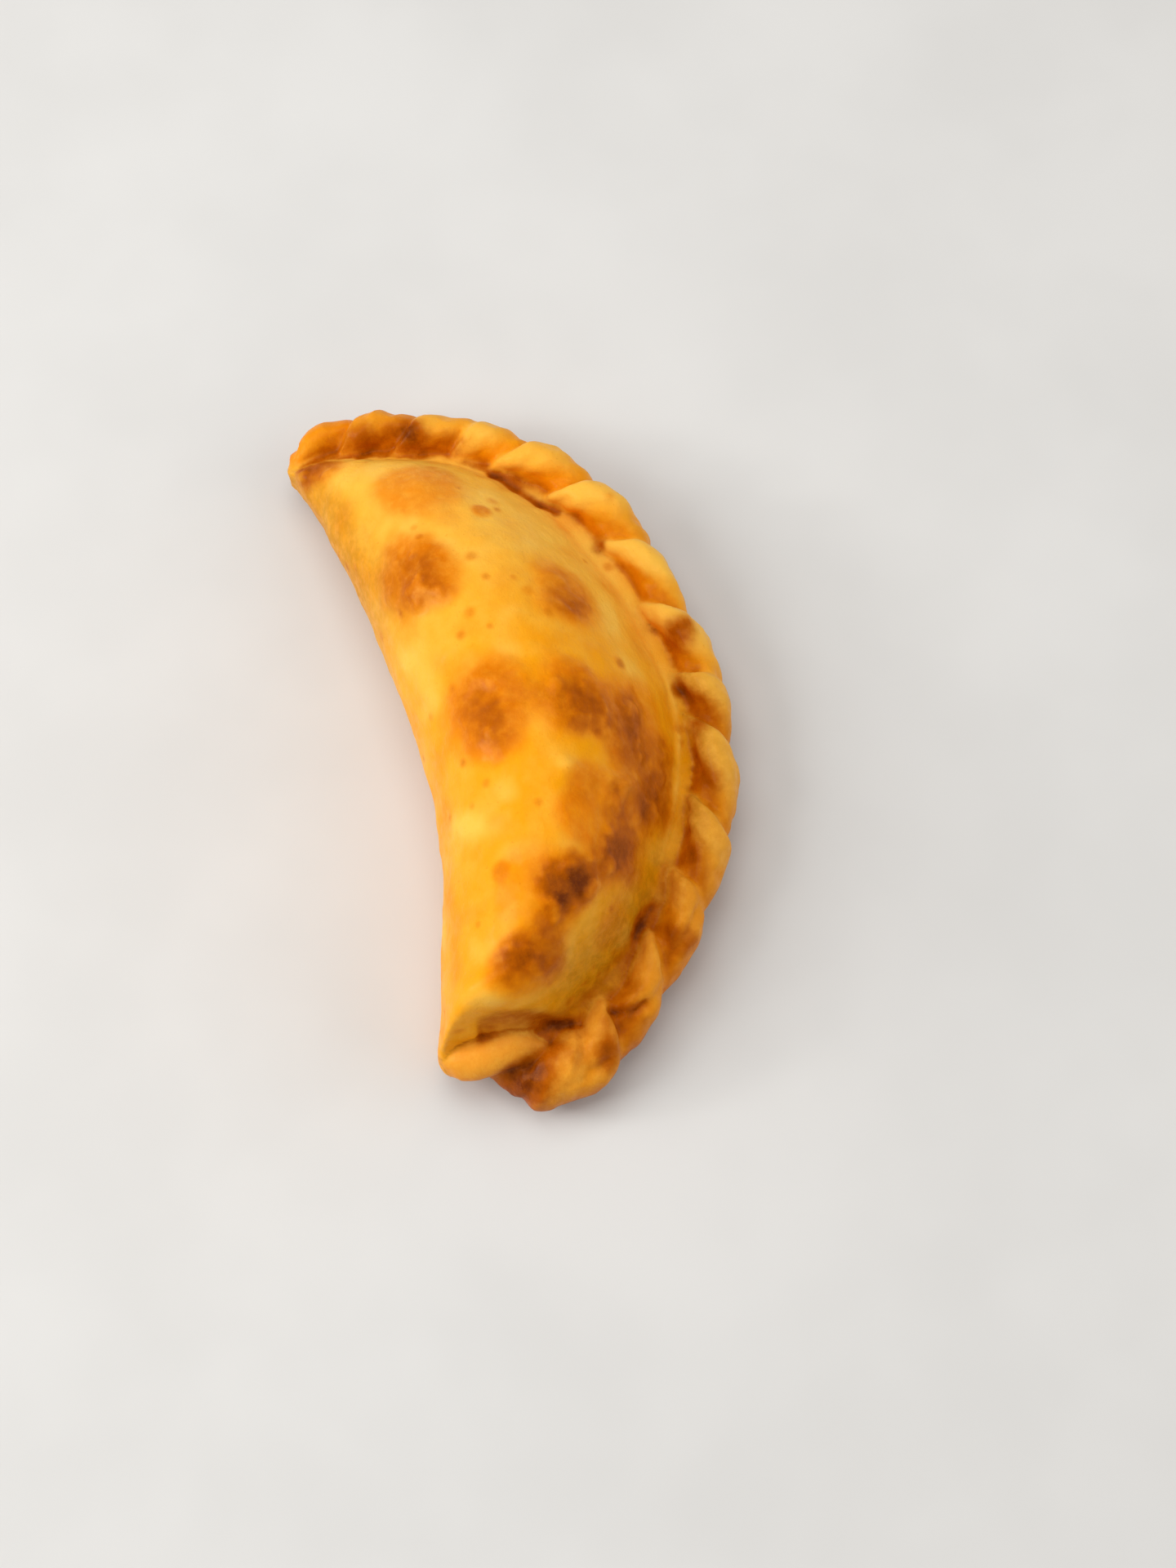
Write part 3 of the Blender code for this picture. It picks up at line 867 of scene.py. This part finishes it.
    def read_form(self):
        """Reads hollows and facings from the finished form, draws the blotches that the shades share, and
        makes the masks for painted shade on skin that faces down and on the steep side beside the tip.
        """
        normals = self.normals()
        self.facing_rope = normals[:, 1]
        self.facing_up = normals[:, 2]
        near = self.depth_under(self.averaged(self.points, NEAR_PASSES), normals)
        wide = self.depth_under(self.averaged(self.points, WIDE_PASSES), normals)
        hollows = np.column_stack([near, wide]) / MM
        self.near_hollow, self.wide_hollow = self.averaged(hollows, HOLLOW_PASSES).T
        self.blotch = 0.5 + clouds(self.points, BLOTCHES)
        self.mottle = clouds(self.points, MOTTLE)
        self.fold_back = self.rope * rise(*BACK_TAIL, self.tail_eased)
        # Skin that faces down gets painted shade.
        self.under = rise(*UNDERSIDE_FACING, self.facing_up)
        # The steep side of the dome beside the sharp tip gets painted shade.
        steep_side = rise(*TIP_SIDE_FACING, self.facing_rope[:, None])
        self.shaded_tip_side = self.averaged(steep_side, TIP_SIDE_PASSES)[:, 0] * self.body
        self.shaded_tip_side *= rise(*TIP_SIDE_X, self.points[:, 0])
        self.pale_shoulder = self.body * rise(*SHOULDER_IN, self.inset) * between(PALE_SHOULDER, self.along)

    def shade_brown(self):
        """Browns the folds, their backs and outer ends partly as painted shade, and paints shade on the lip
        under the rope, in the hollows and on skin that faces down.
        """
        patch = self.rope * rise(*PATCH_ROUND, self.wrap_eased) * rise(*PATCH_TAIL, self.tail_eased)
        patch *= between(INNER_PATCHES, self.along) * (0.4 + 1.2 * self.blotch)
        # The outer ends of the last folds: browner, partly as painted shade.
        outer_end = self.rope * rise(*OUTER_END_ROUND, self.wrap_eased) * rise(*BROWN_OUTER_ENDS, self.along)
        outer_end *= ~self.on_leaf
        brown = with_more(self.brown, INNER_PATCH_BROWN * patch + OUTER_END_BROWN * outer_end)
        # The backs of the folds: browning, and painted shade where each tucks under the next fold.
        inner = 0.45 + 0.55 * rise(*BACK_ROUND, self.wrap_eased)
        fold_back = self.fold_back * np.array(FOLD_BACKS)[self.number]
        brown = with_more(brown, fold_back * inner * (0.7 + 0.6 * self.blotch))
        # Painted shadow on the lip of the dome under the overhanging rope.
        lip = self.body * rise(*LIP_SHADOW_IN, self.inset)
        for stretch, how_brown in LIP_SHADOWS:
            brown = with_more(brown, how_brown * lip * between(stretch, self.along))
        first = self.rope * rise(*FIRST_ROUND, self.wrap_eased) * between(FIRST_FOLDS, self.along)
        brown = with_more(brown, FIRST_FOLDS_BROWN * first * (0.5 + 0.8 * self.blotch))
        # Painted shade in small and wide hollows, kept off the merged corner.
        hollow = rise(*NEAR_HOLLOW, self.near_hollow) + rise(*WIDE_HOLLOW, self.wide_hollow)
        hollow *= (1 - self.merged) * (DOME_HOLLOW_SHARE * self.body + self.rope)
        brown = brown + HOLLOW_SHADE * hollow + UNDERSIDE_SHADE * self.under
        # Mottled, and lighter on bubble tops, partly as a painted highlight.
        return brown * (1 + MOTTLE_BROWN * self.mottle) * (1 - BUBBLE_TOPS_SPARED * self.bubble_tops)

    def shade_orange(self):
        """Adds the toasted tone of the folds and some blotches of the dome, and an orange painted shade on
        skin that faces down.
        """
        toast = np.where(self.on_leaf, FOLD_TOAST[-1], np.array(FOLD_TOAST)[self.number])
        toast = self.rope * (toast + FOLD_BACK_ORANGE * self.fold_back) + UNDERSIDE_SHADE_ORANGE * self.under
        orange = with_more(self.orange * (1 + MOTTLE_ORANGE * self.mottle), toast)
        return with_more(orange, BLOTCH_ORANGE * rise(*ORANGE_BLOTCH, self.blotch) * self.body)

    def shade_pale(self):
        """Keeps tips and the ridge pale, and the dome at its sharp half and beside the seam; paints
        highlights on up-facing crests, on the near side and, in part, on bubble tops, and paints shade on the
        steep side beside the tip.
        """
        # Painted highlight on the fronts of the folds where they face up, weaker in wide hollows.
        crest = CREST_HIGHLIGHT * rise(*CREST_TAIL, self.tail_eased) - CREST_HIGHLIGHT * self.wide_hollow
        crest = self.rope * np.clip(crest, 0, 1) * rise(*CREST_FACING, self.facing_up)
        crest *= np.array(FOLD_CREST_HIGHLIGHTS)[self.number]
        tips = self.rope * rise(*TIP_ROUND, self.wrap_eased) * rise(*TIP_TAIL, self.tail_eased)
        tips *= rise(*PALE_TIPS, self.along)
        dome = BLOTCH_PALE * rise(*PALE_BLOTCH, self.blotch)
        # Painted highlight on the dome's side that faces away from the rope.
        dome += NEAR_SIDE_HIGHLIGHT * rise(*NEAR_SIDE_FACING, self.facing_rope)
        dome += SHARP_HALF_PALE * rise(*SHARP_HALF_X, self.points[:, 0])
        # The bubble tops are pale partly as a painted highlight.
        pale = self.pale + crest + TIP_PALE * tips + BUBBLE_TOP_PALE * self.bubble_tops
        pale += RIDGE_PALE * self.ridge + dome * self.body + SHOULDER_PALE * self.pale_shoulder
        # Painted shade dims the steep side beside the tip.
        return pale * (1 - TIP_SIDE_DIMMED * self.shaded_tip_side)

    def shade_olive(self):
        """The greenish tone of dough that fried less, by the seam and at the blunt end, and a greenish
        painted shade on the steep side beside the tip.
        """
        seam = self.body * rise(*OLIVE_SEAM_IN, self.inset) * between(OLIVE_SEAM, self.along)
        end = self.body * rise(*OLIVE_END_IN, self.inset) * between(OLIVE_END, self.along)
        rope_seam = self.rope * rise(*ROPE_SEAM_ROUND, self.wrap_eased) * between(OLIVE_ROPE, self.along)
        mustard = self.rope * rise(*MUSTARD_ROPE, self.along)
        olive = SEAM_OLIVE * seam * (1 - self.pale_shoulder) + END_OLIVE * end
        olive += ROPE_SEAM_OLIVE * rope_seam + MUSTARD_OLIVE * mustard + TIP_SIDE_SHADE_OLIVE * self.shaded_tip_side
        return olive

    def shade(self):
        """Stores the four shades for the material, a little softer on the rope; the brown one also carries
        painted shade and the pale one painted highlights.
        """
        self.read_form()
        makers = {
            "orange": self.shade_orange, "brown": self.shade_brown,
            "pale": self.shade_pale, "olive": self.shade_olive,
        }
        shades = np.clip(np.column_stack([make() for make in makers.values()]), 0, 1)
        shades += self.rope[:, None] * (self.averaged(shades, ROPE_SHADE_PASSES) - shades)
        for name, values in zip(makers, shades.T):
            self.store(name, values)


def linear(red, green, blue):
    """A colour of a picture, from 0 to 255 each, as the renderer's linear values."""
    def one(value):
        value /= 255
        return value / 12.92 if value <= 0.04045 else ((value + 0.055) / 1.055) ** 2.4

    return one(red), one(green), one(blue), 1.0


class Nodes:
    """Short ways to add the nodes of one material."""

    def __init__(self, name):
        self.material = bpy.data.materials.new(name)
        self.material.use_nodes = True
        self.tree = self.material.node_tree
        self.shader = self.tree.nodes["Principled BSDF"]
        self.place = self.tree.nodes.new("ShaderNodeTexCoord").outputs["Object"]

    def link(self, value, socket):
        """Sets a socket to a value, or joins another node's output to it."""
        if isinstance(value, bpy.types.NodeSocket):
            self.tree.links.new(value, socket)
        else:
            socket.default_value = value

    def noise(self, size, detail=3.0, roughness=0.55):
        """Noise from 0 to 1 with lumps of this size in metres."""
        made = self.tree.nodes.new("ShaderNodeTexNoise")
        self.link(self.place, made.inputs["Vector"])
        made.inputs["Scale"].default_value = 1 / size
        made.inputs["Detail"].default_value = detail
        made.inputs["Roughness"].default_value = roughness
        return made.outputs["Fac"]

    def stored(self, name):
        """A number kept at the points of the mesh."""
        made = self.tree.nodes.new("ShaderNodeAttribute")
        made.attribute_name = name
        return made.outputs["Fac"]

    def sum(self, operation, first, second, third=0.0):
        """One step of arithmetic, held between 0 and 1."""
        made = self.tree.nodes.new("ShaderNodeMath")
        made.operation = operation
        made.use_clamp = True
        for value, socket in zip((first, second, third), made.inputs):
            self.link(value, socket)
        return made.outputs["Value"]

    def ramp(self, value, start, end, low=0.0, high=1.0):
        """An eased step of a value between two limits."""
        made = self.tree.nodes.new("ShaderNodeMapRange")
        made.interpolation_type = "SMOOTHSTEP"
        names = ("Value", "From Min", "From Max", "To Min", "To Max")
        for name, given in zip(names, (value, start, end, low, high)):
            self.link(given, made.inputs[name])
        return made.outputs["Result"]

    def mix(self, amount, first, second):
        """One colour passing into another."""
        made = self.tree.nodes.new("ShaderNodeMix")
        made.data_type = "RGBA"
        colours = [socket for socket in made.inputs if socket.type == "RGBA"]
        self.link(amount, made.inputs["Factor"])
        self.link(first, colours[0])
        self.link(second, colours[1])
        return [socket for socket in made.outputs if socket.type == "RGBA"][0]

    def bump(self, height, depth, strength, under=None):
        """Fine relief of this depth in metres."""
        made = self.tree.nodes.new("ShaderNodeBump")
        made.inputs["Strength"].default_value = strength
        made.inputs["Distance"].default_value = depth
        self.link(height, made.inputs["Height"])
        if under:
            self.link(under, made.inputs["Normal"])
        return made.outputs["Normal"]


def crust_material():
    """Fried dough: golden, orange and brown where it blistered, slightly oily; paler on crests as a painted
    highlight, and browner in hollows, creases and underneath as painted shade.
    """
    nodes = Nodes("fried_crust")
    coarse = nodes.noise(6 * MM, 4)
    mottle = nodes.noise(1.8 * MM, 5, 0.65)
    fine = nodes.noise(0.6 * MM, 3)
    # The pale shade is the dough's paler tone together with painted highlights.
    pale = nodes.sum("MULTIPLY_ADD", nodes.ramp(coarse, 0.35, 0.70), 0.28, nodes.stored("pale"))
    colour = nodes.mix(pale, linear(*GOLDEN), linear(*PALE_GOLD))
    orange = nodes.sum("MULTIPLY", nodes.stored("orange"), nodes.ramp(mottle, 0.25, 0.60, 0.72, 1.0))
    colour = nodes.mix(orange, colour, linear(*ORANGE))
    olive = nodes.sum("MULTIPLY", nodes.stored("olive"), nodes.ramp(mottle, 0.3, 0.7, 0.5, 1.0))
    colour = nodes.mix(olive, colour, linear(*OLIVE))
    # The brown shade is browning together with painted shade.
    brown = nodes.sum("MULTIPLY", nodes.stored("brown"), nodes.ramp(mottle, 0.30, 0.70, 0.88, 1.10))
    colour = nodes.mix(nodes.ramp(brown, 0.05, 0.60), colour, linear(*BROWN))
    colour = nodes.mix(nodes.ramp(brown, 0.45, 1.0), colour, linear(*DARK_BROWN))
    fleck = nodes.sum("MULTIPLY", nodes.ramp(fine, 0.62, 0.78), 0.35)
    colour = nodes.mix(fleck, colour, linear(*FLECK_BROWN))
    nodes.link(colour, nodes.shader.inputs["Base Color"])
    nodes.link(nodes.ramp(mottle, 0.3, 0.7, 0.38, 0.56), nodes.shader.inputs["Roughness"])
    nodes.shader.inputs["Specular IOR Level"].default_value = 0.14
    nodes.shader.inputs["Specular Tint"].default_value = (1.0, 0.64, 0.08, 1)
    nodes.shader.inputs["Coat Weight"].default_value = 0.07
    nodes.shader.inputs["Coat Roughness"].default_value = 0.24
    nodes.shader.inputs["Subsurface Weight"].default_value = 0.08
    nodes.shader.inputs["Subsurface Radius"].default_value = (1.0, 0.4, 0.12)
    nodes.shader.inputs["Subsurface Scale"].default_value = 1.5 * MM
    pores = nodes.bump(fine, 0.10 * MM, 0.6)
    nodes.link(nodes.bump(mottle, 0.35 * MM, 0.6, pores), nodes.shader.inputs["Normal"])
    return nodes.material


def floor_material():
    """A plain pale table."""
    nodes = Nodes("pale_floor")
    tone = nodes.ramp(nodes.noise(60 * MM), 0.3, 0.7)
    nodes.link(nodes.mix(tone, *FLOOR_TONES), nodes.shader.inputs["Base Color"])
    nodes.shader.inputs["Roughness"].default_value = 0.8
    return nodes.material


def view_axes():
    """The photograph's right, up and forward directions, and the level direction away from it."""
    right = Vector((math.cos(VIEW_TURN), math.sin(VIEW_TURN), 0))
    away = Vector((-math.sin(VIEW_TURN), math.cos(VIEW_TURN), 0))
    up = away * math.sin(VIEW_RISE) + Vector((0, 0, math.cos(VIEW_RISE)))
    forward = away * math.cos(VIEW_RISE) - Vector((0, 0, math.sin(VIEW_RISE)))
    return right, up, forward, away


def add_camera():
    """The camera at the photograph's angle, distance and focal length."""
    right, up, forward, away = view_axes()
    camera = bpy.data.cameras.new("camera")
    camera.sensor_fit = "VERTICAL"
    camera.sensor_height = SENSOR
    camera.lens = VIEW_FOCAL / IMAGE_HEIGHT * SENSOR
    camera.clip_start = NEAREST_SEEN
    holder = bpy.data.objects.new("camera", camera)
    aim = right * VIEW_AIM_RIGHT + away * VIEW_AIM_AWAY + PLAN_SHIFT
    holder.location = aim - forward * (VIEW_FOCAL / VIEW_SCALE * MM)
    holder.rotation_mode = "QUATERNION"
    holder.rotation_quaternion = Matrix((right, up, -forward)).transposed().to_quaternion()
    bpy.context.scene.collection.objects.link(holder)
    bpy.context.scene.camera = holder


def add_light(name, place, size, power):
    """A soft square light that points at the pasty."""
    light = bpy.data.lights.new(name, "AREA")
    light.size = size
    light.energy = power
    holder = bpy.data.objects.new(name, light)
    holder.location = place
    holder.rotation_mode = "QUATERNION"
    holder.rotation_quaternion = place.to_track_quat("Z", "Y")
    bpy.context.scene.collection.objects.link(holder)


def add_floor():
    """A plain floor that reaches past the view."""
    far = FLOOR_REACH
    mesh = bpy.data.meshes.new("floor")
    mesh.from_pydata([(-far, -far, 0), (far, -far, 0), (far, far, 0), (-far, far, 0)], [], [(0, 1, 2, 3)])
    mesh.materials.append(floor_material())
    floor = bpy.data.objects.new("floor", mesh)
    bpy.context.scene.collection.objects.link(floor)


def add_studio():
    """The soft lights, most of them from the picture's left and above, and the pale room round them."""
    right, _, _, away = view_axes()
    high = Vector((0, 0, 1))
    for name, to_right, to_back, upward, size, power in LIGHTS:
        add_light(name, right * to_right + away * to_back + high * upward, size, power)
    world = bpy.data.worlds.new("room")
    world.use_nodes = True
    world.node_tree.nodes["Background"].inputs["Color"].default_value = ROOM_COLOUR
    world.node_tree.nodes["Background"].inputs["Strength"].default_value = ROOM_LIGHT
    bpy.context.scene.world = world
    bpy.context.scene.view_settings.view_transform = "Standard"


def add_crust():
    """The pasty's crust, which stands for the solid."""
    seam = PlanCurve(SEAM)
    dough = Dough()
    add_body(dough, PlanCurve(FOLDED_SIDE), seam)
    add_core(dough, seam)
    add_folds(dough, seam)
    add_leaf(dough)
    crust = fused_skin(dough)
    skin = Crust(crust, dough)
    skin.raise_surface()
    skin.shade()
    crust.data.polygons.foreach_set("use_smooth", np.ones(len(crust.data.polygons), bool))
    crust.data.materials.clear()
    crust.data.materials.append(crust_material())
    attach(crust, "root")
    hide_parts("sambousek")


add_crust()
add_camera()
add_floor()
add_studio()
